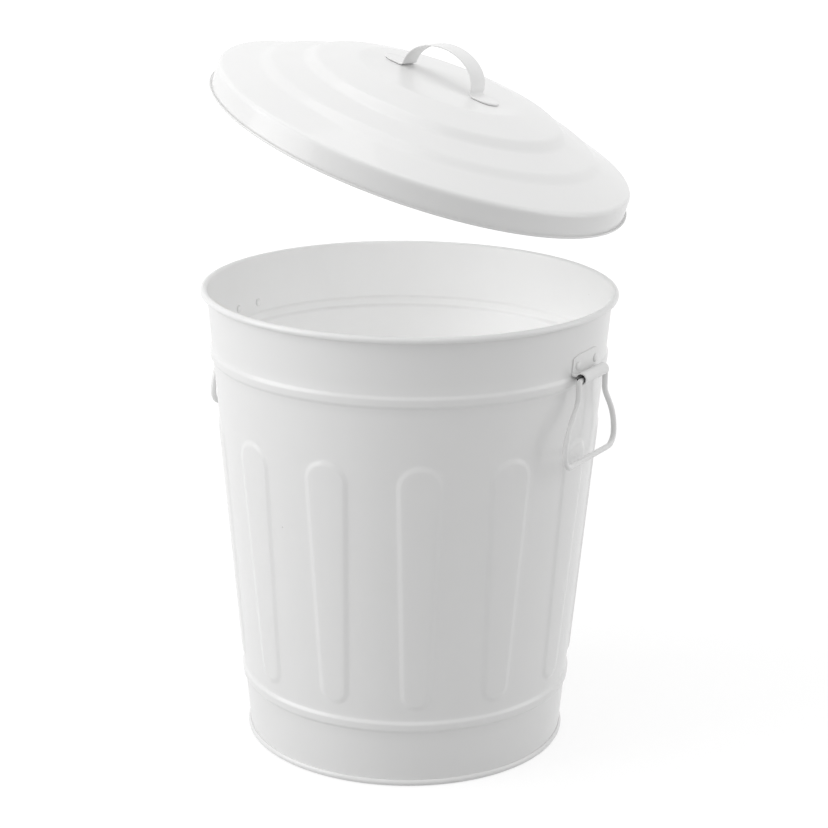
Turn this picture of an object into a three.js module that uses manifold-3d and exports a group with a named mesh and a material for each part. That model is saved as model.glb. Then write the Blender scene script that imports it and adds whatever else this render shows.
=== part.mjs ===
// A round steel trash can with a loose domed lid. Millimetres, +Z up, origin on the
// floor under the middle of the can, side handles on +X and -X.
import * as THREE from 'three';
import { mergeVertices } from 'three/addons/utils/BufferGeometryUtils.js';
import Module from 'manifold-3d';

const wasm = await Module();
wasm.setup();

// ---- driving dimensions ----
const sheet = 0.7;               // steel sheet of the can and the lid
const canHeight = 451;           // floor to the top of the rolled rim
const rimOuterRadius = 200;
const rimRollRadius = 3.2;       // outside radius of the rolled rim's section
const rimRollEnd = -130;         // degrees, where the curl stops
const wallFootRadius = 155.3;    // outside of the wall at the floor
const ringFromFloor = 62.5;      // middle of the lower ring
const ringUnderPlate = 8.05;     // from the handles' plates down to the middle of the upper ring
const ringHalfHeight = 6;
const ringProjection = 2;

const fluteCount = 13;
const fluteBottom = 79;
const fluteDrop = 122;           // from the can's top to the flutes' tops
const fluteBottomHalfWidth = 15.9;
const fluteTopHalfWidth = 23.8;
const fluteProjection = 2;
const fluteEdge = 6.5;           // width of a flute's sloping edge

const floorHeight = 8;           // top of the bottom plate's disc
const seamHeight = 6;            // fold of the bottom plate round the wall's foot
const seamGap = 0.35;
const seamSheet = 0.8;
const seamFoot = 0.8;            // metal under the wall's lower edge
const seamWidth = 2.2;           // fold outside the wall
const seamRound = 1.2;
const floorBend = 3;             // corner between the disc and its upright edge

const bracketSheet = 1.2;
const bracketHalfWidth = 25;
const bracketRollInset = 2;      // each end of the roll lies this far in from the plate's side
const bracketDrop = 36;          // from the can's top to the plate's top
const bracketPlateRise = 21.6;   // from the roll's centre to the plate's top
const bracketShoulderDrop = 3.5; // how much lower the plate's top is at its sides
const bracketGap = 0.35;
const rollStandoff = 7.9;        // roll centre to the wall's outside
const rollRadius = 5.1;          // middle of the rolled sheet
const foldRadius = 1.2;
const foldAngle = THREE.MathUtils.degToRad(30); // on the roll's section, where the fold meets it
const rollEnd = -150;            // degrees, where the roll stops

const rivetSpacing = 34;
const rivetRise = 10.6;          // over the roll's centre
const rivetShankRadius = 2;
const rivetHeadRadius = 4;
const rivetHeadHeight = 2;
const rivetTailRadius = 3.4;
const rivetTailHeight = 1.3;
const rivetHoleClearance = 0.35;
const rivetSeatGap = 0.3;
const rivetDrillLength = 12;

const bailWireRadius = 2.5;
const bailSeatGap = 0.3;
const bailNeckGap = 1.5;         // between the roll's end and the bail's leg
const bailHalfWidth = 50;
const bailDrop = 78.6;           // axis to the middle of the lower bar
const bailNeckLength = 16;
const bailFlareEnd = 66;
const bailNeckBend = 4;
const bailCornerRadius = 12;
const bailEndGap = 0.8;          // between the wire's two ends, inside the roll

const lidRimGap = 2.3;           // round the can's rim, inside the lid's mouth
const lidRollRadius = 1.1;       // outside radius of the rolled edge's section
const lidRollEnd = 390;          // degrees, where the curl stops
const lidSkirtTaper = 0.6;       // the mouth is this much wider than the skirt's top
const lidShoulderRadius = 4;
const lidDiscRadius = 82;
const lidDiscHeight = 63.8;      // over the rolled edge's centre
const lidDiscStep = 0.4;         // drop of its rounded edge
// outside of the dome as [distance in from the lid's edge, height over the rolled edge's centre]
const lidTerraces = [[86.3, 54.8], [74.9, 47.7], [48.1, 38.6], [36.5, 33.5], [10.3, 24.2]];
const lidDiscBend = 3;           // width of the disc's rounded edge

const strapSheet = 1.8;
const strapHalfWidth = 13.5;
const strapArchHalfSpan = 37.3;  // middle of the sheet
const strapArchHeight = 30.5;
const strapFootStraight = 7.7;   // between the bend and the foot's round end
const strapTipHalfWidth = 1.5;
const strapBend = 3;
const strapSeatGap = 0.3;

// the lid as it is held over the can: middle of its rolled edge, tilt and the side it tips to,
// which is also the side it is moved to
const lidHeldRise = 136.6;       // over the can's top
const lidHeldOffset = 8.6;
const lidTilt = THREE.MathUtils.degToRad(18.3);
const lidTipSide = THREE.MathUtils.degToRad(12.9);
const strapTurn = THREE.MathUtils.degToRad(1.9);

const fluteSteps = 6;            // columns of the wall for each flute
const lidSteps = 60;

// ---- worked out from them ----
const rimRollHeight = canHeight - rimRollRadius;
const wallTopRadius = rimOuterRadius - 2 * rimRollRadius + sheet;
const wallSlope = (wallTopRadius - wallFootRadius) / rimRollHeight;
const wallLean = Math.atan(wallSlope);
const flutePitch = 2 * Math.PI / fluteCount;
const wallColumns = fluteCount * fluteSteps;
const wallRadius = (z) => wallFootRadius + wallSlope * z;

const bracketTop = canHeight - bracketDrop;
const rollHeight = bracketTop - bracketPlateRise;  // centre of the roll that holds the bail
const rivetHeight = rollHeight + rivetRise;
const bracketRollHalfWidth = bracketHalfWidth - bracketRollInset;
const foldHeight = rollHeight + (rollRadius + foldRadius) * Math.sin(foldAngle);
const bailNeckHalfWidth = bracketRollHalfWidth + bailNeckGap + bailWireRadius;

const ringHeights = [ringFromFloor, foldHeight - ringUnderPlate];
const fluteTop = canHeight - fluteDrop;

const lidEdgeRadius = rimOuterRadius + lidRimGap + 2 * lidRollRadius;
const strapFootReach = strapArchHalfSpan + strapBend + strapFootStraight + strapHalfWidth;

const smooth = (x) => {
  const t = THREE.MathUtils.clamp(x, 0, 1);
  return t * t * (3 - 2 * t);
};

// ---- materials ----
const paint = (name, colour) => new THREE.MeshStandardMaterial({ name, color: colour, roughness: 0.3, metalness: 0 });
const wallPaint = paint('wall_paint', 0xf2f2f0);
const lidPaint = paint('lid_paint', 0xf4f4f2);
const handlePaint = paint('handle_paint', 0xefefed);
const rivetPaint = paint('rivet_paint', 0xebebe9);

// ---- geometry helpers ----

// Joins rings of points, each with as many points, into one closed body with its faces out.
function loft(rings, closed) {
  const count = rings[0].length;
  const index = [];
  const last = closed ? rings.length : rings.length - 1;
  for (let i = 0; i < last; i++) {
    const a = i * count;
    const b = ((i + 1) % rings.length) * count;
    for (let j = 0; j < count; j++) {
      const k = (j + 1) % count;
      index.push(a + j, b + j, b + k, a + j, b + k, a + k);
    }
  }
  if (!closed) {
    const end = (rings.length - 1) * count;
    for (let j = 0; j < Math.floor(count / 2) - 1; j++) {
      // a section's two long sides run side by side, so its ends are closed across it
      const k = count - 1 - j;
      index.push(j, j + 1, k - 1, j, k - 1, k);
      index.push(end + j, end + k - 1, end + j + 1, end + j, end + k, end + k - 1);
    }
  }
  const points = rings.flat();
  const volume = index.reduce((sum, _, i) => (i % 3 ? sum
    : sum + points[index[i]].dot(points[index[i + 1]].clone().cross(points[index[i + 2]]))), 0);
  if (volume < 0) index.reverse();
  const geometry = new THREE.BufferGeometry();
  geometry.setAttribute('position', new THREE.Float32BufferAttribute(points.flatMap((p) => p.toArray()), 3));
  geometry.setIndex(index);
  geometry.computeVertexNormals();
  return geometry;
}

// Both sides of a bent sheet, as one loop: along its left side and back along its right.
function sheetLoop(middle, thickness) {
  const left = [];
  const right = [];
  middle.forEach((p, i) => {
    const before = middle[Math.max(i - 1, 0)];
    const after = middle[Math.min(i + 1, middle.length - 1)];
    const into = p.clone().sub(before).normalize();
    const out = after.clone().sub(p).normalize();
    const along = into.clone().add(out).normalize();
    const side = new THREE.Vector2(-along.y, along.x);
    const bend = Math.max(Math.abs(along.dot(i === 0 ? out : into)), 0.5);
    const reach = thickness / 2 / bend;
    left.push(p.clone().addScaledVector(side, reach));
    right.push(p.clone().addScaledVector(side, -reach));
  });
  return [...left, ...right.reverse()];
}

function arc(centreX, centreY, radius, from, to, steps) {
  return Array.from({ length: steps + 1 }, (_, i) => {
    const angle = THREE.MathUtils.degToRad(from + (to - from) * i / steps);
    return new THREE.Vector2(centreX + radius * Math.cos(angle), centreY + radius * Math.sin(angle));
  });
}

function toSolid(geometry) {
  const plain = geometry.clone();
  plain.deleteAttribute('normal');
  plain.deleteAttribute('uv');
  const merged = mergeVertices(plain, 1e-4);
  return new wasm.Manifold(new wasm.Mesh({
    numProp: 3,
    vertProperties: new Float32Array(merged.attributes.position.array),
    triVerts: new Uint32Array(merged.index.array),
  }));
}

function fromSolid(solid) {
  const mesh = solid.getMesh();
  const geometry = new THREE.BufferGeometry();
  geometry.setAttribute('position', new THREE.BufferAttribute(mesh.vertProperties, 3));
  geometry.setIndex(new THREE.BufferAttribute(mesh.triVerts, 1));
  geometry.computeVertexNormals();
  return geometry;
}

// A turned body about +Z, with a corner of its facets on +X.
function turned(profile, steps) {
  const geometry = new THREE.LatheGeometry(profile, steps, Math.PI / 2);
  geometry.rotateX(Math.PI / 2);
  return geometry;
}

function addMesh(group, name, geometry, material) {
  const mesh = new THREE.Mesh(geometry, material);
  mesh.name = name;
  group.add(mesh);
  return mesh;
}

// ---- side wall ----

const fluteHalfWidth = (z) => THREE.MathUtils.mapLinear(z, fluteBottom, fluteTop, fluteBottomHalfWidth, fluteTopHalfWidth);

// How far a flute stands out of the wall, at a distance across it and a height.
function fluteRise(across, z) {
  const width = fluteHalfWidth(z);
  const toEnd = Math.min(z - fluteBottom, fluteTop - z);
  if (toEnd <= 0) return 0;
  const beyond = Math.max(width - toEnd, 0);
  const inside = width - Math.hypot(Math.abs(across), beyond);
  return fluteProjection * smooth(inside / fluteEdge);
}

function ringRise(z) {
  const near = Math.min(...ringHeights.map((h) => Math.abs(z - h)));
  return near < ringHalfHeight ? ringProjection * (0.5 + 0.5 * Math.cos(Math.PI * near / ringHalfHeight)) : 0;
}

const wallSeatHeight = seamFoot + seamGap;

function wallHeights() {
  const ringShare = [-1, -0.35, 0.35, 1];
  const ends = [0, 0.15, 0.5, 1.1];
  const rings = ringHeights.map((h) => ringShare.map((s) => h + s * ringHalfHeight));
  const lower = ends.map((s) => fluteBottom + s * fluteBottomHalfWidth);
  const upper = ends.map((s) => fluteTop - s * fluteTopHalfWidth).reverse();
  return [wallSeatHeight, ...rings[0], ...lower, ...upper, ...rings[1]];
}

function sideWall() {
  const inFlutes = (z) => z > fluteBottom && z < fluteTop;
  const rows = wallHeights().map((z) => new THREE.Vector2(wallRadius(z) + ringRise(z) - sheet / 2, z));
  const curlCentre = rimOuterRadius - rimRollRadius;
  rows.push(...arc(curlCentre, rimRollHeight, rimRollRadius - sheet / 2, 180, rimRollEnd, 7));
  const loop = sheetLoop(rows, sheet);
  const columns = Array.from({ length: wallColumns }, (_, column) => {
    const flute = Math.round(column / fluteSteps);
    const step = column - flute * fluteSteps;
    return loop.map((p, i) => {
      const z = rows[Math.min(i, loop.length - 1 - i)].y;
      let turn = step / fluteSteps * flutePitch;
      let rise = 0;
      if (inFlutes(z)) {
        // the columns beside a flute's middle follow its edge
        const foot = fluteHalfWidth(z) / wallRadius(z);
        const places = [0, foot - fluteEdge / wallRadius(z), foot, flutePitch / 2];
        turn = Math.sign(step) * places[Math.abs(step)];
        rise = fluteRise(turn * wallRadius(z), z);
      }
      const angle = flute * flutePitch + turn;
      const radius = p.x + rise;
      return new THREE.Vector3(radius * Math.cos(angle), radius * Math.sin(angle), p.y);
    });
  });
  return loft(columns, true);
}

// ---- bottom plate ----

function bottomPlate() {
  const outside = wallRadius(wallSeatHeight) + seamGap;
  const outsideTop = wallRadius(seamHeight) + seamGap;
  const inside = wallRadius(wallSeatHeight) - sheet - seamGap;
  const insideTop = wallRadius(floorHeight) - sheet - seamGap;
  const under = floorHeight - seamSheet;
  const upright = inside - 2 * seamSheet;
  const points = [
    [0, under],
    [upright - floorBend, under],
    [upright, under - floorBend / 2],
    [upright, 0],
    [outside + seamWidth - seamRound, 0],
    [outside + seamWidth, seamRound],
    [outsideTop + seamWidth, seamHeight - seamRound],
    [outsideTop + seamWidth - seamRound, seamHeight],
    [outsideTop, seamHeight],
    [outside, seamFoot],
    [inside, seamFoot],
    [insideTop, floorHeight],
    [0, floorHeight],
  ];
  return turned(points.map(([r, z]) => new THREE.Vector2(r, z)), wallColumns);
}

// ---- side handles, built for +X and turned round for -X ----

const rollX = wallRadius(rollHeight) + rollStandoff;
const rollInside = rollRadius - bracketSheet / 2;
const bailAxisHeight = rollHeight - (rollInside - bailWireRadius - bailSeatGap);

// The bracket's section, from the plate's top down and round the bail.
function bracketSection() {
  const foldX = rollX - (rollRadius + foldRadius) * Math.cos(foldAngle);
  const meets = THREE.MathUtils.radToDeg(foldAngle);
  const fold = arc(foldX, foldHeight, foldRadius, 180, 360 - meets, 3);
  const roll = arc(rollX, rollHeight, rollRadius, 180 - meets, rollEnd, 9).slice(1);
  const plate = [bracketTop, (bracketTop + rivetHeight) / 2, rivetHeight, (rivetHeight + foldHeight) / 2].map((z) =>
    new THREE.Vector2(plateMiddle(z), z));
  return { points: [...plate, ...fold, ...roll], plateCount: plate.length, fold: fold.length };
}

const plateMiddle = (z) => wallRadius(z) + bracketGap + bracketSheet / 2;

function bracketShape() {
  const { points, plateCount, fold } = bracketSection();
  const steps = 8;
  const loop = sheetLoop(points, bracketSheet);
  const sections = [];
  for (let i = 0; i <= steps; i++) {
    const share = -1 + 2 * i / steps;
    const shoulder = bracketShoulderDrop * share ** 4;
    sections.push(loop.map((p, j) => {
      const row = Math.min(j, loop.length - 1 - j);
      const onPlate = THREE.MathUtils.clamp((plateCount + fold - 1 - row) / fold, 0, 1);
      const y = share * THREE.MathUtils.lerp(bracketRollHalfWidth, bracketHalfWidth, onPlate);
      const curved = Math.sqrt(p.x ** 2 - y ** 2);
      const x = THREE.MathUtils.lerp(p.x, curved, onPlate);
      const drop = row < 2 ? shoulder * (row === 0 ? 1 : 0.4) : 0;
      return new THREE.Vector3(x - drop * wallSlope, y, p.y - drop);
    }));
  }
  return loft(sections, false);
}

// Where a rivet goes through: on the wall's outside, square to it.
function rivetFrame(side) {
  const across = side * rivetSpacing / 2;
  const radius = wallRadius(rivetHeight);
  const turn = Math.asin(across / radius);
  const frame = new THREE.Object3D();
  frame.rotation.set(0, Math.PI / 2 + wallLean, turn, 'ZYX');
  frame.position.set(radius * Math.cos(turn), across, rivetHeight);
  frame.updateMatrix();
  return frame.matrix;
}

function rivetShape() {
  const seat = bracketGap + bracketSheet + rivetSeatGap;
  const back = -sheet - rivetSeatGap;
  const dome = [0.35, 0.75, 1].map((s) => new THREE.Vector2(
    rivetHeadRadius * Math.sqrt(1 - s * s), seat + rivetHeadHeight * s)).filter((p) => p.x > 0);
  return turned([
    new THREE.Vector2(0, back - rivetTailHeight),
    new THREE.Vector2(rivetTailRadius * 0.8, back - rivetTailHeight),
    new THREE.Vector2(rivetTailRadius, back - rivetTailHeight / 2),
    new THREE.Vector2(rivetTailRadius, back),
    new THREE.Vector2(rivetShankRadius, back),
    new THREE.Vector2(rivetShankRadius, seat),
    new THREE.Vector2(rivetHeadRadius, seat),
    ...dome,
    new THREE.Vector2(0, seat + rivetHeadHeight),
  ], 8);
}

// Cuts a handle's two rivet holes, the handle turned round the can.
function drillRivetHoles(solid, turn) {
  const radius = rivetShankRadius + rivetHoleClearance;
  const drill = new THREE.CylinderGeometry(radius, radius, rivetDrillLength, 12);
  drill.rotateX(Math.PI / 2);
  return [-1, 1].reduce((left, side) =>
    left.subtract(toSolid(drill.clone().applyMatrix4(rivetFrame(side)).rotateZ(turn))), solid);
}

// The bail's wire: from inside the roll, down one leg, along the lower bar and back.
function bailPath() {
  const at = (across, down) => new THREE.Vector3(rollX, across, bailAxisHeight - down);
  const path = new THREE.CurvePath();
  const half = [];
  const corner = bailDrop - bailCornerRadius;
  half.push(new THREE.LineCurve3(at(bailEndGap / 2, 0), at(bailNeckHalfWidth - bailNeckBend, 0)));
  half.push(new THREE.QuadraticBezierCurve3(
    at(bailNeckHalfWidth - bailNeckBend, 0), at(bailNeckHalfWidth, 0), at(bailNeckHalfWidth, bailNeckBend)));
  half.push(new THREE.LineCurve3(at(bailNeckHalfWidth, bailNeckBend), at(bailNeckHalfWidth, bailNeckLength)));
  half.push(new THREE.CubicBezierCurve3(
    at(bailNeckHalfWidth, bailNeckLength), at(bailNeckHalfWidth, bailFlareEnd * 0.4),
    at(bailHalfWidth, bailFlareEnd * 0.6), at(bailHalfWidth, bailFlareEnd)));
  half.push(new THREE.LineCurve3(at(bailHalfWidth, bailFlareEnd), at(bailHalfWidth, corner)));
  half.push(new THREE.CubicBezierCurve3(
    at(bailHalfWidth, corner), at(bailHalfWidth, corner + bailCornerRadius * 0.55),
    at(bailHalfWidth - bailCornerRadius * 0.45, bailDrop), at(bailHalfWidth - bailCornerRadius, bailDrop)));
  half.forEach((curve) => path.add(curve));
  path.add(new THREE.LineCurve3(
    at(bailHalfWidth - bailCornerRadius, bailDrop), at(bailCornerRadius - bailHalfWidth, bailDrop)));
  const flip = (v) => new THREE.Vector3(v.x, -v.y, v.z);
  half.reverse().forEach((curve) => {
    if (curve.isLineCurve3) path.add(new THREE.LineCurve3(flip(curve.v2), flip(curve.v1)));
    else if (curve.v3) path.add(new THREE.CubicBezierCurve3(flip(curve.v3), flip(curve.v2), flip(curve.v1), flip(curve.v0)));
    else path.add(new THREE.QuadraticBezierCurve3(flip(curve.v2), flip(curve.v1), flip(curve.v0)));
  });
  return path;
}

function bailShape() {
  const section = new THREE.Shape(arc(0, 0, bailWireRadius, 0, 360, 8).slice(0, -1));
  return new THREE.ExtrudeGeometry(section, { steps: 56, bevelEnabled: false, extrudePath: bailPath() });
}

// ---- lid, built level with its rolled edge's centre at height 0 ----

function lidSection() {
  const skirtFoot = lidEdgeRadius - 2 * lidRollRadius + sheet / 2;
  const skirtTop = skirtFoot - lidSkirtTaper;
  const terraces = [[lidDiscRadius, lidDiscHeight - lidDiscStep], ...lidTerraces.map(([inset, h]) => [lidEdgeRadius - inset, h])];
  const dome = terraces.map(([r, h]) => new THREE.Vector2(r, h - sheet / 2));
  const [above, lowest] = dome.slice(-2);
  const slope = (above.y - lowest.y) / (lowest.x - above.x);
  const cornerHeight = lowest.y - slope * (skirtTop + sheet / 2 - lowest.x);
  const lean = Math.atan(slope) * 180 / Math.PI;
  const tangent = lidShoulderRadius * Math.tan((90 - lean) / 2 * Math.PI / 180);
  const shoulder = arc(skirtTop - lidShoulderRadius, cornerHeight - tangent, lidShoulderRadius, 90 - lean, 0, 2);
  const roll = arc(skirtFoot + lidRollRadius - sheet / 2, 0, lidRollRadius - sheet / 2, 180, lidRollEnd, 4);
  return { dome, shoulder, roll };
}

function lidShell() {
  const { dome, shoulder, roll } = lidSection();
  const middle = [new THREE.Vector2(0, lidDiscHeight - sheet / 2),
    new THREE.Vector2(lidDiscRadius - lidDiscBend, lidDiscHeight - sheet / 2), ...dome, ...shoulder, ...roll];
  const loop = sheetLoop(middle, sheet);
  return turned(loop.reverse(), lidSteps);
}

function strapPath() {
  const seat = lidDiscHeight + strapSeatGap + strapSheet / 2;
  const ends = [0, 0.06, 0.22, 0.5, 1].map((s) => new THREE.Vector2(-strapFootReach + s * strapHalfWidth, seat));
  const bendX = -strapArchHalfSpan - strapBend;
  const bend = arc(bendX, seat + strapBend, strapBend, 270, 360, 3).slice(1);
  const rise = strapArchHeight - strapBend;
  const arch = Array.from({ length: 9 }, (_, i) => {
    const angle = (i + 1) / 9 * Math.PI / 2;
    return new THREE.Vector2(-strapArchHalfSpan * Math.cos(angle), seat + strapBend + rise * Math.sin(angle));
  });
  const half = [...ends, new THREE.Vector2(bendX, seat), ...bend, ...arch];
  const other = half.slice(0, -1).reverse().map((p) => new THREE.Vector2(-p.x, p.y));
  return [...half, ...other];
}

function strapShape() {
  const middle = strapPath();
  const loop = sheetLoop(middle, strapSheet);
  const sections = middle.map((p, i) => {
    const fromEnd = strapFootReach - Math.abs(p.x);
    const across = Math.min(fromEnd / strapHalfWidth, 1);
    const half = Math.max(strapHalfWidth * Math.sqrt(1 - (1 - across) ** 2), strapTipHalfWidth);
    const above = loop[i];
    const below = loop[loop.length - 1 - i];
    return [[above, -half], [above, half], [below, half], [below, -half]].map(([q, y]) => new THREE.Vector3(q.x, y, q.y));
  });
  return loft(sections, false);
}

// ---- assembly ----

const trashCan = new THREE.Group();

let wall = toSolid(sideWall());
const bracket = fromSolid(drillRivetHoles(toSolid(bracketShape()), 0));
const sides = { right: 0, left: Math.PI };
for (const [side, turn] of Object.entries(sides)) {
  const handle = new THREE.Group();
  handle.rotation.z = turn;
  trashCan.add(handle);
  wall = drillRivetHoles(wall, turn);
  addMesh(handle, `handle_bracket_${side}`, bracket, handlePaint);
  addMesh(handle, `bail_${side}`, bailShape(), handlePaint);
  [-1, 1].forEach((end, i) => {
    const rivet = rivetShape().applyMatrix4(rivetFrame(end));
    addMesh(handle, `bracket_rivet_${side}_${i + 1}`, rivet, rivetPaint);
  });
}
addMesh(trashCan, 'side_wall', fromSolid(wall), wallPaint);
addMesh(trashCan, 'bottom_plate', bottomPlate(), wallPaint);

const lid = new THREE.Group();
const tipAxis = new THREE.Vector3(-Math.sin(lidTipSide), Math.cos(lidTipSide), 0);
lid.quaternion.setFromAxisAngle(tipAxis, lidTilt);
lid.position.set(lidHeldOffset * Math.cos(lidTipSide), lidHeldOffset * Math.sin(lidTipSide), canHeight + lidHeldRise);
trashCan.add(lid);
addMesh(lid, 'lid_shell', lidShell(), lidPaint);
const strap = addMesh(lid, 'lid_handle', strapShape(), lidPaint);
strap.rotation.z = strapTurn;

export default trashCan;
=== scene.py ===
import math
import bmesh
import bpy
from mathutils import Matrix, Vector


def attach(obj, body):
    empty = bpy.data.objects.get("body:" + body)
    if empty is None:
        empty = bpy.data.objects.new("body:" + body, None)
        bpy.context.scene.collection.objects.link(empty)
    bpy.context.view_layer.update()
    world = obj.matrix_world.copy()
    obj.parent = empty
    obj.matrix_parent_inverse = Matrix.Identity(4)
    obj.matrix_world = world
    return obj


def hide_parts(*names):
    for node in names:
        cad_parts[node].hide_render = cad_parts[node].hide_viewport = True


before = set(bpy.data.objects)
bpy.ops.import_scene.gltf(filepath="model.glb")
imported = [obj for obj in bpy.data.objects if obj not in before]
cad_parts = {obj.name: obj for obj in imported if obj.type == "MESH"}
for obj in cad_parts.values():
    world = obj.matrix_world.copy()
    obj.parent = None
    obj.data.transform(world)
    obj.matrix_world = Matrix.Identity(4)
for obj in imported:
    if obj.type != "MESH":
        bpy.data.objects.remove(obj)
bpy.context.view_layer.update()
print("frame loaded,", len(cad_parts), "solids")

mm = 0.001                  # the pieces are drawn in millimetres


# camera

cameraPlace = {
    "azimuth": 31,          # degrees round the can from looking along +Y
    "distance": 2.0571,     # metres from the can's axis
    "height": 0.9448,
    "pitch": 16.852,        # degrees down
    "yaw": 0.154,           # degrees to the right of the can's axis
    "roll": 0.72,
    "lens": 95.83,
    "sensor": 36,
}


def addObject(name, data):
    added = bpy.data.objects.new(name, data)
    bpy.context.scene.collection.objects.link(added)
    return added


def turnToCamera():
    return Matrix.Rotation(math.radians(cameraPlace["azimuth"]), 3, "Z")


def addCamera():
    place = cameraPlace
    pitch, yaw, roll = (math.radians(place[key]) for key in ("pitch", "yaw", "roll"))
    ahead = Vector((math.sin(yaw) * math.cos(pitch), math.cos(yaw) * math.cos(pitch), -math.sin(pitch)))
    level = ahead.cross(Vector((0, 0, 1))).normalized()
    upright = level.cross(ahead)
    across = level * math.cos(roll) + upright * math.sin(roll)
    up = upright * math.cos(roll) - level * math.sin(roll)
    turn = turnToCamera()
    matrix = (turn @ Matrix((across, up, -ahead)).transposed()).to_4x4()
    matrix.translation = turn @ Vector((0, -place["distance"], place["height"]))
    data = bpy.data.cameras.new("camera")
    data.lens = place["lens"]
    data.sensor_width = place["sensor"]
    camera = addObject("camera", data)
    camera.matrix_world = matrix
    bpy.context.scene.camera = camera


addCamera()
print("camera placed")


# paint

def addNode(tree, kind, place, **settings):
    node = tree.nodes.new(kind)
    node.location = place
    for key, value in settings.items():
        setattr(node, key, value)
    return node


def link(tree, source, output, target, entry):
    tree.links.new(source.outputs[output], target.inputs[entry])


def setInputs(node, values):
    for name, value in values.items():
        node.inputs[name].default_value = value


def mathNode(tree, place, operation, *values):
    # a value is a number, or a node with the name or number of its output
    node = addNode(tree, "ShaderNodeMath", place, operation=operation)
    for i, value in enumerate(values):
        if isinstance(value, tuple):
            link(tree, value[0], value[1], node, i)
        else:
            node.inputs[i].default_value = value
    return node


def newMaterial(name):
    material = bpy.data.materials.new(name)
    material.use_nodes = True
    return material, material.node_tree


colourMix = {"factor": 0, "first": 6, "second": 7, "result": 2}     # sockets of a Mix node for colours
spray = {
    "peel": {"Detail": 1.5},
    "waves": {"Scale": 9, "Detail": 1},
    "waveLift": 12.0,           # how many times higher the sheet's waves are than the peel
    "fleckScale": 34,
    "fleckSize": 0.028,
    "fleckRarity": 0.93,        # share of the places that have no fleck
    "dust": {"Scale": 26, "Detail": 6},
    "dustRange": {"From Min": 0.2, "From Max": 0.85, "To Min": 0.0, "To Max": 0.016},
    "dustColour": (0.33, 0.32, 0.3, 1),
    "dustDulls": 0.12,          # the most that it adds to the roughness
    "peelScale": 420.0,
    "bump": {"Strength": 0.2, "Distance": 0.00003},
    "clearRoughness": 0.06,
}


def makePaintGroup():
    # sprayed gloss paint: orange peel, the sheet's own long waves, a little dust and odd flecks
    group = bpy.data.node_groups.new("glossPaint", "ShaderNodeTree")
    face = group.interface
    face.new_socket("Paint", in_out="INPUT", socket_type="NodeSocketColor")
    for name in ("Gloss", "Peel Scale", "Peel", "Sheet Waves", "Flecks"):
        face.new_socket(name, in_out="INPUT", socket_type="NodeSocketFloat")
    face.new_socket("Color", in_out="OUTPUT", socket_type="NodeSocketColor")
    face.new_socket("Roughness", in_out="OUTPUT", socket_type="NodeSocketFloat")
    face.new_socket("Height", in_out="OUTPUT", socket_type="NodeSocketFloat")
    start = addNode(group, "NodeGroupInput", (-1000, 0))
    end = addNode(group, "NodeGroupOutput", (700, 0))
    where = addNode(group, "ShaderNodeTexCoord", (-1000, -300))

    peel = addNode(group, "ShaderNodeTexNoise", (-700, 200))
    setInputs(peel, spray["peel"])
    link(group, start, "Peel Scale", peel, "Scale")
    link(group, where, "Object", peel, "Vector")
    waves = addNode(group, "ShaderNodeTexNoise", (-700, 0))
    setInputs(waves, spray["waves"])
    link(group, where, "Object", waves, "Vector")
    peelHeight = mathNode(group, (-400, 200), "MULTIPLY", (peel, "Fac"), (start, "Peel"))
    waveHeight = mathNode(group, (-400, 0), "MULTIPLY", (waves, "Fac"), (start, "Sheet Waves"))
    waveLift = mathNode(group, (-200, 0), "MULTIPLY", (waveHeight, 0), spray["waveLift"])
    height = mathNode(group, (0, 100), "ADD", (peelHeight, 0), (waveLift, 0))
    link(group, height, 0, end, "Height")

    spots = addNode(group, "ShaderNodeTexVoronoi", (-700, -250))
    setInputs(spots, {"Scale": spray["fleckScale"]})
    link(group, where, "Object", spots, "Vector")
    small = mathNode(group, (-450, -250), "LESS_THAN", (spots, "Distance"), spray["fleckSize"])
    pick = addNode(group, "ShaderNodeSeparateColor", (-450, -400))
    link(group, spots, "Color", pick, "Color")
    rare = mathNode(group, (-250, -400), "GREATER_THAN", (pick, "Red"), spray["fleckRarity"])
    fleck = mathNode(group, (-50, -300), "MULTIPLY", (small, 0), (rare, 0))
    fleckShare = mathNode(group, (100, -300), "MULTIPLY", (fleck, 0), (start, "Flecks"))

    dust = addNode(group, "ShaderNodeTexNoise", (-700, -600))
    setInputs(dust, spray["dust"])
    link(group, where, "Object", dust, "Vector")
    dustShare = addNode(group, "ShaderNodeMapRange", (-450, -600), interpolation_type="SMOOTHSTEP")
    setInputs(dustShare, spray["dustRange"])
    link(group, dust, "Fac", dustShare, "Value")
    darker = mathNode(group, (250, -350), "ADD", (dustShare, "Result"), (fleckShare, 0))
    tint = addNode(group, "ShaderNodeMix", (450, 100), data_type="RGBA", blend_type="MIX")
    tint.inputs[colourMix["second"]].default_value = spray["dustColour"]
    link(group, darker, 0, tint, colourMix["factor"])
    link(group, start, "Paint", tint, colourMix["first"])
    link(group, tint, colourMix["result"], end, "Color")

    dull = mathNode(group, (250, -100), "MULTIPLY", (dust, "Fac"), spray["dustDulls"])
    rough = mathNode(group, (450, -100), "ADD", (dull, 0), (start, "Gloss"))
    link(group, rough, 0, end, "Roughness")
    return group


paintGroup = makePaintGroup()
paintMixes = {
    # the small pieces have no waves; clear is the weight of the clear coat over the paint
    "wall": dict(colour=(0.85, 0.85, 0.847), gloss=0.27, peel=0.3, waves=0.25, flecks=0.35, clear=0.3),
    "lid": dict(colour=(0.85, 0.85, 0.847), gloss=0.27, peel=0.25, waves=0.2, flecks=0.3, clear=0.3),
    "handle": dict(colour=(0.84, 0.84, 0.836), gloss=0.28, peel=0.35, waves=0.0, flecks=0.3, clear=0.35),
    "rivet": dict(colour=(0.83, 0.83, 0.826), gloss=0.3, peel=0.35, waves=0.0, flecks=0.0, clear=0.3),
}


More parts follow.
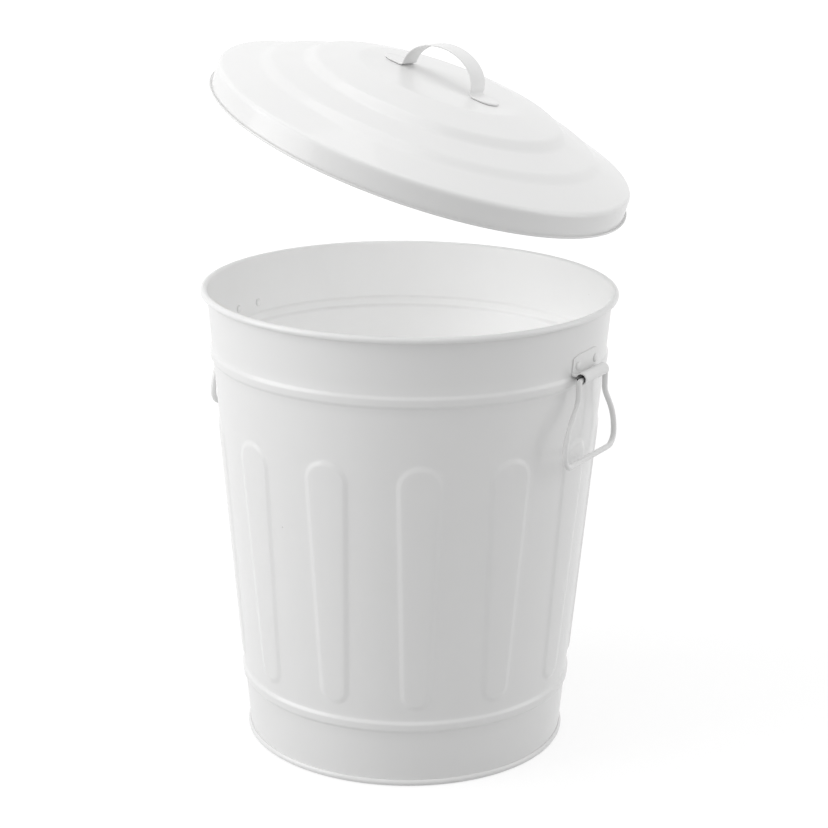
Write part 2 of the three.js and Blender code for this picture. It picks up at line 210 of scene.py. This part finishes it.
def paintMaterial(part, mix):
    material, tree = newMaterial(f"{part}Paint")
    shader = tree.nodes["Principled BSDF"]
    coat = addNode(tree, "ShaderNodeGroup", (-600, 0), node_tree=paintGroup)
    setInputs(coat, {
        "Paint": (*mix["colour"], 1),
        "Gloss": mix["gloss"],
        "Peel Scale": spray["peelScale"],
        "Peel": mix["peel"],
        "Sheet Waves": mix["waves"],
        "Flecks": mix["flecks"],
    })
    bump = addNode(tree, "ShaderNodeBump", (-300, -200))
    setInputs(bump, spray["bump"])
    link(tree, coat, "Color", shader, "Base Color")
    link(tree, coat, "Roughness", shader, "Roughness")
    link(tree, coat, "Height", bump, "Height")
    link(tree, bump, "Normal", shader, "Normal")
    setInputs(shader, {"Coat Weight": mix["clear"], "Coat Roughness": spray["clearRoughness"]})
    return material


paints = {part: paintMaterial(part, mix) for part, mix in paintMixes.items()}

# near-black colours that paint the shade inside the handles' rolls
paintedRollShade = {
    "grain": {"Scale": 300},
    "darkest": (0.004, 0.004, 0.004, 1),
    "lightest": (0.02, 0.019, 0.018, 1),
    "surface": {"Roughness": 0.8, "Specular IOR Level": 0.1},
}


def paintedRollShadeMaterial():
    # inside of the handles' rolls: near-black painted shade where the roll's hollow lies in shadow
    material, tree = newMaterial("paintedShadeInRoll")
    shader = tree.nodes["Principled BSDF"]
    where = addNode(tree, "ShaderNodeTexCoord", (-800, 0))
    grain = addNode(tree, "ShaderNodeTexNoise", (-600, 0))
    setInputs(grain, paintedRollShade["grain"])
    link(tree, where, "Object", grain, "Vector")
    ramp = addNode(tree, "ShaderNodeValToRGB", (-350, 0))
    ramp.color_ramp.elements[0].color = paintedRollShade["darkest"]
    ramp.color_ramp.elements[1].color = paintedRollShade["lightest"]
    link(tree, grain, "Fac", ramp, "Fac")
    link(tree, ramp, "Color", shader, "Base Color")
    setInputs(shader, paintedRollShade["surface"])
    return material


paintedShadeInRoll = paintedRollShadeMaterial()
print("paints mixed")


# lines and skins

skin = {
    "weld": 1e-7,               # metres
    "sliver": 1e-8,
    "sharpAngle": 40,           # degrees
    "mitreLimit": 0.5,          # keeps a sheet's sides from running far out at a sharp bend
    "cornerShare": 0.48,        # the most of a side that one rounded corner takes
}


def spread(start, stop, steps):
    return [start + (stop - start) * i / steps for i in range(steps + 1)]


def quarter(steps):
    return [math.pi / 2 * i / steps for i in range(steps + 1)]


def smooth(x):
    t = min(max(x, 0.0), 1.0)
    return t * t * (3 - 2 * t)


def arc(x, y, radius, start, stop, steps):
    angles = [math.radians(degrees) for degrees in spread(start, stop, steps)]
    return [Vector((x + radius * math.cos(a), y + radius * math.sin(a))) for a in angles]


def curve(a, b, c, d, steps):
    # from a to d, pulled towards b and c, without its first point
    points = []
    for t in spread(0, 1, steps)[1:]:
        left = 1 - t
        points.append(tuple(left ** 3 * p + 3 * t * left ** 2 * q + 3 * t * t * left * r + t ** 3 * s
                            for p, q, r, s in zip(a, b, c, d)))
    return points


def rounded(points, radii, steps):
    # a line whose inner corners are rounded, each with its own radius
    result = [points[0]]
    for before, here, after, radius in zip(points, points[1:], points[2:], radii):
        back = before - here
        ahead = after - here
        reach = min(radius, back.length * skin["cornerShare"], ahead.length * skin["cornerShare"])
        start = here + back.normalized() * reach
        stop = here + ahead.normalized() * reach
        for t in spread(0, 1, steps):
            result.append(start * (1 - t) ** 2 + here * 2 * t * (1 - t) + stop * t * t)
    result.append(points[-1])
    return result


def directions(points):
    # the line's direction at each point, from the point before it to the point after it
    last = len(points) - 1
    return [(points[min(i + 1, last)] - points[max(i - 1, 0)]).normalized() for i in range(last + 1)]


def sheetLoop(middle, thickness):
    # both sides of a bent sheet: along its left side and back along its right
    left, right = [], []
    last = len(middle) - 1
    for i, point in enumerate(middle):
        into = (point - middle[i - 1]).normalized() if i else None
        out = (middle[i + 1] - point).normalized() if i < last else None
        into = into or out
        out = out or into
        along = (into + out).normalized()
        reach = thickness / 2 / max(along.dot(into), skin["mitreLimit"])
        side = Vector((-along.y, along.x)) * reach
        left.append(point + side)
        right.append(point - side)
    return left + right[::-1]


def spin(profile, steps):
    angles = [2 * math.pi * i / steps for i in range(steps)]
    return [[(p.x * math.cos(a), p.x * math.sin(a), p.y) for p in profile] for a in angles]


def skinFaces(ringCount, count, closed, wrap, ends):
    # closed joins the last ring to the first, wrap joins each ring's end to its start, ends caps both ends
    faces = []
    for i in range(ringCount if closed else ringCount - 1):
        here, there = i * count, (i + 1) % ringCount * count
        for j in range(count if wrap else count - 1):
            k = (j + 1) % count
            faces.append((here + j, there + j, there + k, here + k))
    if ends:
        last = (ringCount - 1) * count
        for j in range(count // 2 - 1):
            k = count - 1 - j
            faces.append((j, j + 1, k - 1, k))
            faces.append((last + j, last + k, last + k - 1, last + j + 1))
    return faces


def addPiece(name, rings, body, node, paint, closed=False, wrap=True, ends=False, place=None):
    # joins rings of points in millimetres into one skin that rides on a body
    matrix = place or Matrix.Identity(4)
    points = [matrix @ Vector(point) * mm for ring in rings for point in ring]
    mesh = bpy.data.meshes.new(name)
    mesh.from_pydata(points, [], skinFaces(len(rings), len(rings[0]), closed, wrap, ends))
    work = bmesh.new()
    work.from_mesh(mesh)
    bmesh.ops.remove_doubles(work, verts=work.verts, dist=skin["weld"])
    bmesh.ops.dissolve_degenerate(work, edges=work.edges, dist=skin["sliver"])
    bmesh.ops.recalc_face_normals(work, faces=work.faces)
    if work.calc_volume(signed=True) < 0:
        bmesh.ops.reverse_faces(work, faces=work.faces)
    work.to_mesh(mesh)
    work.free()
    mesh.shade_smooth()
    mesh.set_sharp_from_angle(angle=math.radians(skin["sharpAngle"]))
    mesh.materials.append(paint)
    piece = addObject(name, mesh)
    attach(piece, body)
    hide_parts(node)
    return piece


# can wall

can = {
    "sheet": 0.7,
    "footRadius": 155.3,
    "rimRadius": 200.0,
    "rimRoll": 3.2,
    "rimRollEnd": -130,         # degrees
    "rimRollSteps": 30,
    "height": 451.0,
    "rings": (62.5, 388.5),
    "ringHalfHeight": 6.8,
    "ringEdge": 4.2,            # height of a ring's sloping edge
    "ringRise": 2.2,
    "wallFoot": 1.15,
}
flutes = {
    "count": 13,
    "bottom": 79.0,
    "top": 329.0,
    "bottomHalfWidth": 15.9,
    "topHalfWidth": 23.8,
    "rise": 1.4,
    "edge": 6.8,
}
wallGrid = {
    # millimetres from one row of points to the next
    "foot": 11,
    "ring": 0.75,
    "overRing": 3,
    "fluteEnd": 1.3,
    "flute": 12,
    "overFlutes": 9,
    "underRim": 11,
    "fluteMargin": 1,           # how far the fine rows run past a flute's end
    # steps across half a flute's share of the wall
    "insideSteps": 4,
    "edgeSteps": 6,
    "betweenSteps": 5,
    # least places of a flute's edge, where its round end narrows, as shares of its half width and edge
    "narrowOuter": 0.45,
    "narrowInner": 0.2,
    "narrowEdge": 0.4,
}

rimRollHeight = can["height"] - can["rimRoll"]
wallTop = can["rimRadius"] - 2 * can["rimRoll"] + can["sheet"]
wallSlope = (wallTop - can["footRadius"]) / rimRollHeight
wallLean = math.atan(wallSlope)
flutePitch = 2 * math.pi / flutes["count"]


def wallRadius(z):
    return can["footRadius"] + wallSlope * z


def fluteHalfWidth(z):
    share = (z - flutes["bottom"]) / (flutes["top"] - flutes["bottom"])
    return flutes["bottomHalfWidth"] + share * (flutes["topHalfWidth"] - flutes["bottomHalfWidth"])


def fluteRise(across, z):
    toEnd = min(z - flutes["bottom"], flutes["top"] - z)
    if toEnd <= 0:
        return 0.0
    width = fluteHalfWidth(z)
    beyond = max(width - toEnd, 0)
    return flutes["rise"] * smooth((width - math.hypot(across, beyond)) / flutes["edge"])


def ringRise(z):
    near = min(abs(z - ring) for ring in can["rings"])
    return can["ringRise"] * smooth((can["ringHalfHeight"] - near) / can["ringEdge"])


def wallRows():
    # heights of the rows, close together on the rings and at the flutes' round ends
    half = can["ringHalfHeight"]
    lowerRing, upperRing = can["rings"]
    bands = [
        (can["wallFoot"], "foot"),
        (lowerRing - half, "ring"),
        (lowerRing + half, "overRing"),
        (flutes["bottom"] - wallGrid["fluteMargin"], "fluteEnd"),
        (flutes["bottom"] + flutes["bottomHalfWidth"], "flute"),
        (flutes["top"] - flutes["topHalfWidth"], "fluteEnd"),
        (flutes["top"] + wallGrid["fluteMargin"], "overFlutes"),
        (upperRing - half, "ring"),
        (upperRing + half, "underRim"),
    ]
    tops = [low for low, band in bands[1:]] + [rimRollHeight]
    rows = []
    for (low, band), high in zip(bands, tops):
        rows += spread(low, high, max(1, round((high - low) / wallGrid[band])))[:-1]
    return rows


def columnPlaces(z):
    # places across half a flute's share of the wall, close together at the flute's edge
    grid = wallGrid
    half = flutePitch * wallRadius(z) / 2
    width = fluteHalfWidth(min(max(z, flutes["bottom"]), flutes["top"]))
    edge = flutes["edge"]
    beyond = max(width - min(z - flutes["bottom"], flutes["top"] - z), 0)
    outer = math.sqrt(max(width ** 2 - beyond ** 2, (grid["narrowOuter"] * width) ** 2))
    inner = math.sqrt(max((width - edge) ** 2 - beyond ** 2, (grid["narrowInner"] * width) ** 2))
    inner = min(inner, outer - grid["narrowEdge"] * edge)
    return (spread(0, inner, grid["insideSteps"]) + spread(inner, outer, grid["edgeSteps"])[1:]
            + spread(outer, half, grid["betweenSteps"])[1:])


def makeWall():
    sheet = can["sheet"]
    rows = [Vector((wallRadius(z) + ringRise(z) - sheet / 2, z)) for z in wallRows()]
    rollX, rollRadius = can["rimRadius"] - can["rimRoll"], can["rimRoll"] - sheet / 2
    rows += arc(rollX, rimRollHeight, rollRadius, 180, can["rimRollEnd"], can["rimRollSteps"])
    loop = sheetLoop(rows, sheet)
    heights = [rows[min(i, len(loop) - 1 - i)].y for i in range(len(loop))]
    places = [columnPlaces(min(z, rimRollHeight)) for z in heights]
    most = len(places[0]) - 1
    columns = []
    for flute in range(flutes["count"]):
        for step in range(-most, most):
            column = []
            for point, z, row in zip(loop, heights, places):
                across = math.copysign(row[abs(step)], step)
                angle = flute * flutePitch + across / wallRadius(min(z, rimRollHeight))
                radius = point.x + fluteRise(abs(across), z)
                column.append((radius * math.cos(angle), radius * math.sin(angle), point.y))
            columns.append(column)
    addPiece("canWall", columns, "can", "side_wall", paints["wall"], closed=True)


makeWall()


# can bottom

bottom = {
    "discHeight": 8.0,
    "sheet": 0.8,
    "discBend": 3.0,
    "seamHeight": 6.0,
    "seamGap": 0.04,
    "seamFoot": 0.8,
    "seamWidth": 2.4,
    "seamLower": ((0.5, 0), (1, 0.25)),         # outside of the seam, as shares of its width and height
    "seamUpper": ((1, 0.65), (0.4, 1)),
    "seamRound": 1.6,
    "underRounds": (2, 2, 0.5),
    "insideRounds": (0.2, 0.2, 0.2, 0.4),
    "roundSteps": 4,
    "steps": 260,
}


def makeBottom():
    gap, width, height = bottom["seamGap"], bottom["seamWidth"], bottom["seamHeight"]
    outside = wallRadius(can["wallFoot"]) + gap
    outsideTop = wallRadius(height) + gap
    inside = wallRadius(can["wallFoot"]) - can["sheet"] - gap
    insideTop = wallRadius(bottom["discHeight"]) - can["sheet"] - gap
    under = bottom["discHeight"] - bottom["sheet"]
    upright = inside - 2 * bottom["sheet"]
    bend = bottom["discBend"]
    points = [(0, under), (upright - bend, under), (upright, under - bend / 2), (upright, 0)]
    points += [(outside + width * across, height * up) for across, up in bottom["seamLower"]]
    points += [(outsideTop + width * across, height * up) for across, up in bottom["seamUpper"]]
    points += [(outsideTop, height), (outside, bottom["seamFoot"]), (inside, bottom["seamFoot"])]
    points += [(insideTop, bottom["discHeight"]), (0, bottom["discHeight"])]
    seamCorners = len(bottom["seamLower"]) + len(bottom["seamUpper"])
    radii = [*bottom["underRounds"], *[bottom["seamRound"]] * seamCorners, *bottom["insideRounds"]]
    profile = rounded([Vector(point) for point in points], radii, bottom["roundSteps"])
    addPiece("canBottom", spin(profile, bottom["steps"]), "can", "bottom_plate",
             paints["wall"], closed=True, wrap=False)


makeBottom()
print("can made")


# side handles, made for +X and turned round for -X

handle = {
    "sheet": 1.2,
    "halfWidth": 25.0,
    "rollHalfWidth": 23.0,
    "plateTop": 415.0,
    "plateRows": 14,
    "shoulderDrop": 3.5,        # how much lower the plate's top is at its two sides
    "shoulderPower": 4,
    "shoulderRows": 8,
    "gap": 0.03,
    "rollHeight": 393.4,
    "rollStandoff": 7.9,
    "rollRadius": 5.1,
    "rollEnd": -170,            # degrees
    "rollSteps": 44,
    "foldRadius": 1.2,
    "foldAngle": 30,
    "foldSteps": 8,
    "stepsAcross": 36,
    "edgeRound": 0.3,
    "edgeSegments": 2,
    "edgeAngle": 50,
    "shadeFacing": 0.3,          # faces of the roll that look at its middle by more than this get the painted shade
}

rollX = wallRadius(handle["rollHeight"]) + handle["rollStandoff"]


def makeBracket(side, turn):
    sheet, rollHeight, rollRadius = handle["sheet"], handle["rollHeight"], handle["rollRadius"]
    foldAngle, foldRadius = handle["foldAngle"], handle["foldRadius"]
    reach = rollRadius + foldRadius
    foldX = rollX - reach * math.cos(math.radians(foldAngle))
    foldZ = rollHeight + reach * math.sin(math.radians(foldAngle))
    plate = [Vector((wallRadius(z) + handle["gap"] + sheet / 2, z))
             for z in spread(handle["plateTop"], foldZ, handle["plateRows"])[:-1]]
    fold = arc(foldX, foldZ, foldRadius, 180, 360 - foldAngle, handle["foldSteps"])
    roll = arc(rollX, rollHeight, rollRadius, 180 - foldAngle, handle["rollEnd"], handle["rollSteps"])[1:]
    loop = sheetLoop(plate + fold + roll, sheet)
    wider = handle["halfWidth"] - handle["rollHalfWidth"]
    sections = []
    for place in spread(-1, 1, handle["stepsAcross"]):
        share = math.sin(math.pi / 2 * place)
        section = []
        for j, point in enumerate(loop):
            row = min(j, len(loop) - 1 - j)
            onPlate = min(max((len(plate) + len(fold) - 1 - row) / len(fold), 0), 1)
            y = share * (handle["rollHalfWidth"] + wider * onPlate)
            onWall = math.sqrt(point.x ** 2 - y ** 2)       # the plate follows the wall's curve
            x = point.x + (onWall - point.x) * onPlate
            fromTop = max(1 - row / handle["shoulderRows"], 0)
            drop = handle["shoulderDrop"] * share ** handle["shoulderPower"] * fromTop
            section.append((x - drop * wallSlope, y, point.y - drop))
        sections.append(section)
    piece = addPiece(f"bracket{side}", sections, "can", f"handle_bracket_{side.lower()}",
                     paints["handle"], ends=True, place=turn)
    paintShadeInRoll(piece, turn @ Vector((rollX, 0, rollHeight)) * mm)
    edge = piece.modifiers.new("edges", "BEVEL")
    edge.width = handle["edgeRound"] * mm
    edge.segments = handle["edgeSegments"]
    edge.limit_method = "ANGLE"
    edge.angle_limit = math.radians(handle["edgeAngle"])


# gives the roll's hollow faces the near-black material: painted shade for the dark inside of the roll
def paintShadeInRoll(piece, centre):
    piece.data.materials.append(paintedShadeInRoll)
    for face in piece.data.polygons:
        away = face.center - centre
        away.y = 0
        facing = -away.dot(face.normal)
        if away.length < handle["rollRadius"] * mm and facing > handle["shadeFacing"] * away.length:
            face.material_index = 1


rivets = {
    "spacing": 34.0,
    "height": 404.0,
    "shank": 2.0,
    "head": 4.0,
    "headHeight": 2.0,
    "headEdge": 0.25,           # upright edge under the head's dome
    "headSteps": 10,
    "tail": 3.8,
    "tailHeight": 1.7,
    "tailEdge": 0.3,
    "tailSteps": 6,
    "gap": 0.03,
    "steps": 28,
}


def rivetProfile():
    seat = handle["gap"] + handle["sheet"] + rivets["gap"]
    back = -can["sheet"] - rivets["gap"]
    head, headEdge = rivets["head"], rivets["headEdge"]
    tail, tailEdge = rivets["tail"], rivets["tailEdge"]
    headDome, tailDome = rivets["headHeight"] - headEdge, rivets["tailHeight"] - tailEdge
    points = [(tail * math.sin(a), back - tailEdge - tailDome * math.cos(a))
              for a in quarter(rivets["tailSteps"])]
    points += [(tail, back), (rivets["shank"], back), (rivets["shank"], seat), (head, seat)]
    points += [(head * math.cos(a), seat + headEdge + headDome * math.sin(a))
               for a in quarter(rivets["headSteps"])]
    return [Vector(point) for point in points]


def makeRivets(side, turn):
    rings = spin(rivetProfile(), rivets["steps"])
    radius = wallRadius(rivets["height"])
    for number, end in enumerate((-1, 1), 1):
        across = end * rivets["spacing"] / 2
        angle = math.asin(across / radius)
        squareToWall = Matrix.Rotation(angle, 4, "Z") @ Matrix.Rotation(math.pi / 2 + wallLean, 4, "Y")
        onWall = Matrix.Translation((radius * math.cos(angle), across, rivets["height"]))
        node = f"bracket_rivet_{side.lower()}_{number}"
        addPiece(f"rivet{side}{number}", rings, "can", node, paints["rivet"],
                 closed=True, wrap=False, place=turn @ onWall @ squareToWall)


bail = {
    "wire": 2.7,                # radius
    "axisHeight": 391.7,
    "neckHalfWidth": 27.0,
    "halfWidth": 50.0,
    "drop": 78.6,
    "neckLength": 16.0,
    "neckBend": 4.0,
    "flareEnd": 66.0,
    "flarePulls": (0.4, 0.6),   # shares of flareEnd
    "cornerRadius": 12.0,
    "cornerPull": 0.55,         # makes a curve's corner round
    "endGap": 0.8,              # between the wire's two ends, in the roll
    "rollSteps": 6,
    "neckSteps": 10,
    "flareSteps": 28,
    "cornerSteps": 16,
    "barSteps": 5,
    "sides": 20,
}


def bailLine():
    # half of the wire's line as (across, down), from the middle of the roll to the middle of the lower bar
    neck, half, drop = bail["neckHalfWidth"], bail["halfWidth"], bail["drop"]
    turn, radius, pull = bail["neckBend"], bail["cornerRadius"], bail["cornerPull"]
    flareEnd, corner = bail["flareEnd"], drop - radius
    firstPull, lastPull = (flareEnd * share for share in bail["flarePulls"])
    line = [(across, 0) for across in spread(bail["endGap"] / 2, neck - turn, bail["rollSteps"])]
    line += curve((neck - turn, 0), (neck - turn / 3, 0), (neck, turn / 3), (neck, turn), bail["neckSteps"])
    line += [(neck, bail["neckLength"])]
    line += curve((neck, bail["neckLength"]), (neck, firstPull), (half, lastPull), (half, flareEnd),
                  bail["flareSteps"])
    line += [(half, corner)]
    line += curve((half, corner), (half, corner + radius * pull), (half - radius * (1 - pull), drop),
                  (half - radius, drop), bail["cornerSteps"])
    return line + [(across, drop) for across in spread(half - radius, 0, bail["barSteps"])[1:]]


def makeBail(side, turn):
    half = bailLine()
    axis = Vector((rollX, 0, bail["axisHeight"]))
    line = [Vector((0, across, -down)) for across, down in half]
    line += [Vector((0, -across, -down)) for across, down in half[-2::-1]]
    outward = Vector((1, 0, 0))
    angles = [2 * math.pi * k / bail["sides"] for k in range(bail["sides"])]
    rings = []
    for point, along in zip(line, directions(line)):
        sideways = along.cross(outward)
        rings.append([axis + point + (outward * math.cos(a) + sideways * math.sin(a)) * bail["wire"]
                      for a in angles])
    node = f"bail_{side.lower()}"
    addPiece(f"bail{side}", rings, node, node, paints["handle"], ends=True, place=turn)


for side, degrees in (("Right", 0), ("Left", 180)):
    turn = Matrix.Rotation(math.radians(degrees), 4, "Z")
    makeBracket(side, turn)
    makeRivets(side, turn)
    makeBail(side, turn)
print("side handles made")


# lid, made level with its rolled edge's middle at height 0

lid = {
    "sheet": 0.7,
    "edgeRadius": 205.3,
    "edgeRoll": 1.6,
    "edgeRollEnd": 390,         # degrees
    "edgeRollSteps": 14,
    "skirtTaper": 0.6,
    "shoulderRadius": 4.0,
    "discHeight": 63.8,
    "dome": (                   # radius and height at the ends of each slope
        (79.0, 63.8), (82.0, 63.4), (118.8, 55.0), (128.6, 47.9),
        (157.4, 39.4), (166.6, 33.8), (194.2, 24.2),
    ),
    "discRounds": (2, 3),
    "stepRound": 3.0,
    "roundSteps": 8,
    "steps": 300,
    "heldHeight": 587.6,        # the lid hangs over the can, moved and tipped towards tipSide
    "heldOffset": 8.6,
    "tilt": 18.3,
    "tipSide": 12.9,
}

tip = math.radians(lid["tipSide"])
heldAt = (lid["heldOffset"] * math.cos(tip), lid["heldOffset"] * math.sin(tip), lid["heldHeight"])
tiltAxis = Vector((-math.sin(tip), math.cos(tip), 0))
lidPlace = Matrix.Translation(heldAt) @ Matrix.Rotation(math.radians(lid["tilt"]), 4, tiltAxis)


def makeLid():
    sheet, roll = lid["sheet"], lid["edgeRoll"]
    foot = lid["edgeRadius"] - 2 * roll + sheet / 2
    top = foot - lid["skirtTaper"]
    dome = [Vector((radius, height - sheet / 2)) for radius, height in lid["dome"]]
    slope = (dome[-2].y - dome[-1].y) / (dome[-1].x - dome[-2].x)
    shoulder = Vector((top, dome[-1].y - slope * (top + sheet / 2 - dome[-1].x)))
    line = [Vector((0, lid["discHeight"] - sheet / 2))] + dome[:-1] + [shoulder, Vector((foot, 0))]
    steps = len(dome) - 1 - len(lid["discRounds"])
    radii = [*lid["discRounds"], *[lid["stepRound"]] * steps, lid["shoulderRadius"]]
    middle = rounded(line, radii, lid["roundSteps"])[:-1]
    rollRadius = roll - sheet / 2
    middle += arc(foot + rollRadius, 0, rollRadius, 180, lid["edgeRollEnd"], lid["edgeRollSteps"])
    loop = sheetLoop(middle, sheet)
    loop[0].x = loop[-1].x = 0
    addPiece("lidDome", spin(loop, lid["steps"]), "lid", "lid_shell", paints["lid"],
             closed=True, wrap=False, place=lidPlace)


strap = {
    "sheet": 1.8,
    "halfWidth": 13.5,
    "archHalfSpan": 37.3,
    "archHeight": 30.5,
    "archSteps": 30,
    "footReach": 61.5,
    "footSteps": 14,
    "footEndHalfWidth": 1.5,
    "bend": 3.0,
    "bendSteps": 8,
    "gap": 0.3,
    "turn": 1.9,                # degrees on the lid
    "edgeRound": 0.8,
    "edgeSteps": 4,
}
strapCorners = ((1, 1, 0), (-1, 1, 90), (-1, -1, 180), (1, -1, 270))     # across, up, where its arc starts


def strapLine():
    # the strap's middle seen from its side: round foot, bend, arch, and the same mirrored
    seat = lid["discHeight"] + strap["gap"] + strap["sheet"] / 2
    reach, halfWidth = strap["footReach"], strap["halfWidth"]
    halfSpan, bend = strap["archHalfSpan"], strap["bend"]
    rise = strap["archHeight"] - bend
    half = [Vector((-reach + halfWidth * (1 - math.cos(a)), seat)) for a in quarter(strap["footSteps"])]
    half += arc(-halfSpan - bend, seat + bend, bend, 270, 360, strap["bendSteps"])
    half += [Vector((-halfSpan * math.cos(a), seat + bend + rise * math.sin(a)))
             for a in quarter(strap["archSteps"])[1:]]
    return half + [Vector((-point.x, point.y)) for point in half[-2::-1]]


def makeStrap():
    line = strapLine()
    reach, halfWidth, edge = strap["footReach"], strap["halfWidth"], strap["edgeRound"]
    flatHalf = strap["sheet"] / 2 - edge
    rings = []
    for point, along in zip(line, directions(line)):
        out = Vector((-along.y, along.x))
        inward = min((reach - abs(point.x)) / halfWidth, 1)
        width = max(halfWidth * math.sqrt(max(1 - (1 - inward) ** 2, 0)), strap["footEndHalfWidth"])
        ring = []
        for across, up, start in strapCorners:
            for degrees in spread(start, start + 90, strap["edgeSteps"]):
                a = math.radians(degrees)
                y = across * (width - edge) + edge * math.cos(a)
                z = up * flatHalf + edge * math.sin(a)
                ring.append((point.x + out.x * z, y, point.y + out.y * z))
        rings.append(ring)
    addPiece("lidStrap", rings, "lid", "lid_handle", paints["lid"], ends=True,
             place=lidPlace @ Matrix.Rotation(math.radians(strap["turn"]), 4, "Z"))


makeLid()
makeStrap()
print("lid made")


# floor and light

studio = {
    "floorHalf": 12.0,
    "floorDrop": 0.0004,        # keeps the floor clear of the can's foot
    "floorPaint": 0.58,         # the floor that lights the can from below
    "floorShade": 0.3,          # the floor that the camera sees: this much lit paint, and the rest glow
    "floorGlow": {"From Min": 0.6, "From Max": 3.0, "To Min": 0.76, "To Max": 0.95},    # metres, strength
    "room": 0.55,
    "white": (1, 1, 1, 1),
}
lamps = {
    # metres right of the line from camera to can, near the camera and up, and the height aimed at
    "keyLeft": {"right": -2.2, "near": 0.6, "up": 1.2, "size": (1.8, 2.4), "watts": 27, "aim": 0.35},
    "sideRight": {"right": 2.35, "near": 0.2, "up": 1.0, "size": (1.4, 2.2), "watts": 12, "aim": 0.3},
    "topSoft": {"right": -0.25, "near": 0.1, "up": 2.6, "size": (2.2, 2.2), "watts": 17, "aim": 0.4},
}
insideFill = {"right": 0.065, "near": -0.02, "up": 0.33, "radius": 0.11, "watts": 0.47}


def lookedAt(tree, x, y):
    # 1 for what the camera or a reflection looks at, and 0 for what only lights the can
    path = addNode(tree, "ShaderNodeLightPath", (x, y))
    return mathNode(tree, (x + 200, y), "MAXIMUM", (path, "Is Camera Ray"), (path, "Is Glossy Ray"))


def makeFloorMaterial():
    material, tree = newMaterial("paleFloor")
    tree.nodes.remove(tree.nodes["Principled BSDF"])
    paint = addNode(tree, "ShaderNodeBsdfDiffuse", (-500, 0))
    setInputs(paint, {"Color": (*[studio["floorPaint"]] * 3, 1)})
    shade = addNode(tree, "ShaderNodeBsdfDiffuse", (-500, -150))
    setInputs(shade, {"Color": (*[studio["floorShade"]] * 3, 1)})
    glow = addNode(tree, "ShaderNodeEmission", (-500, -300))
    where = addNode(tree, "ShaderNodeTexCoord", (-1100, -300))
    far = addNode(tree, "ShaderNodeVectorMath", (-900, -300), operation="LENGTH")
    fade = addNode(tree, "ShaderNodeMapRange", (-700, -300), interpolation_type="SMOOTHSTEP")
    setInputs(fade, studio["floorGlow"])
    link(tree, where, "Object", far, 0)
    link(tree, far, "Value", fade, "Value")
    link(tree, fade, "Result", glow, "Strength")
    seen = addNode(tree, "ShaderNodeAddShader", (-250, -200))
    link(tree, shade, 0, seen, 0)
    link(tree, glow, 0, seen, 1)
    pick = addNode(tree, "ShaderNodeMixShader", (0, 0))
    link(tree, lookedAt(tree, -500, 300), 0, pick, "Fac")
    link(tree, paint, 0, pick, 1)
    link(tree, seen, 0, pick, 2)
    link(tree, pick, 0, tree.nodes["Material Output"], "Surface")
    return material


def addFloor():
    half, height = studio["floorHalf"], -studio["floorDrop"]
    corners = [(x * half, y * half, height) for x, y in ((-1, -1), (1, -1), (1, 1), (-1, 1))]
    mesh = bpy.data.meshes.new("floor")
    mesh.from_pydata(corners, [], [(0, 1, 2, 3)])
    mesh.materials.append(makeFloorMaterial())
    addObject("floor", mesh)


def addRoom():
    world = bpy.data.worlds.new("studio")
    bpy.context.scene.world = world
    world.use_nodes = True
    tree = world.node_tree
    room = tree.nodes["Background"]
    setInputs(room, {"Color": studio["white"], "Strength": studio["room"]})
    backdrop = addNode(tree, "ShaderNodeBackground", (0, -200))
    setInputs(backdrop, {"Color": studio["white"]})
    pick = addNode(tree, "ShaderNodeMixShader", (250, 0))
    link(tree, lookedAt(tree, 0, 300), 0, pick, "Fac")
    link(tree, room, 0, pick, 1)
    link(tree, backdrop, 0, pick, 2)
    link(tree, pick, 0, tree.nodes["World Output"], "Surface")


def addLamp(name, kind, place):
    data = bpy.data.lights.new(name, kind)
    data.energy = place["watts"]
    lamp = addObject(name, data)
    lamp.location = turnToCamera() @ Vector((place["right"], -place["near"], place["up"]))
    return lamp


def addLamps():
    for name, place in lamps.items():
        lamp = addLamp(name, "AREA", place)
        lamp.data.shape = "RECTANGLE"
        lamp.data.size, lamp.data.size_y = place["size"]
        towards = Vector((0, 0, place["aim"])) - lamp.location
        lamp.rotation_euler = towards.to_track_quat("-Z", "Y").to_euler()
    fill = addLamp("insideFill", "POINT", insideFill)       # light that finds its way into the can
    fill.data.shadow_soft_size = insideFill["radius"]
    fill.visible_camera = fill.visible_glossy = False


addFloor()
addRoom()
addLamps()
bpy.context.scene.view_settings.view_transform = "Standard"
print("studio lit")
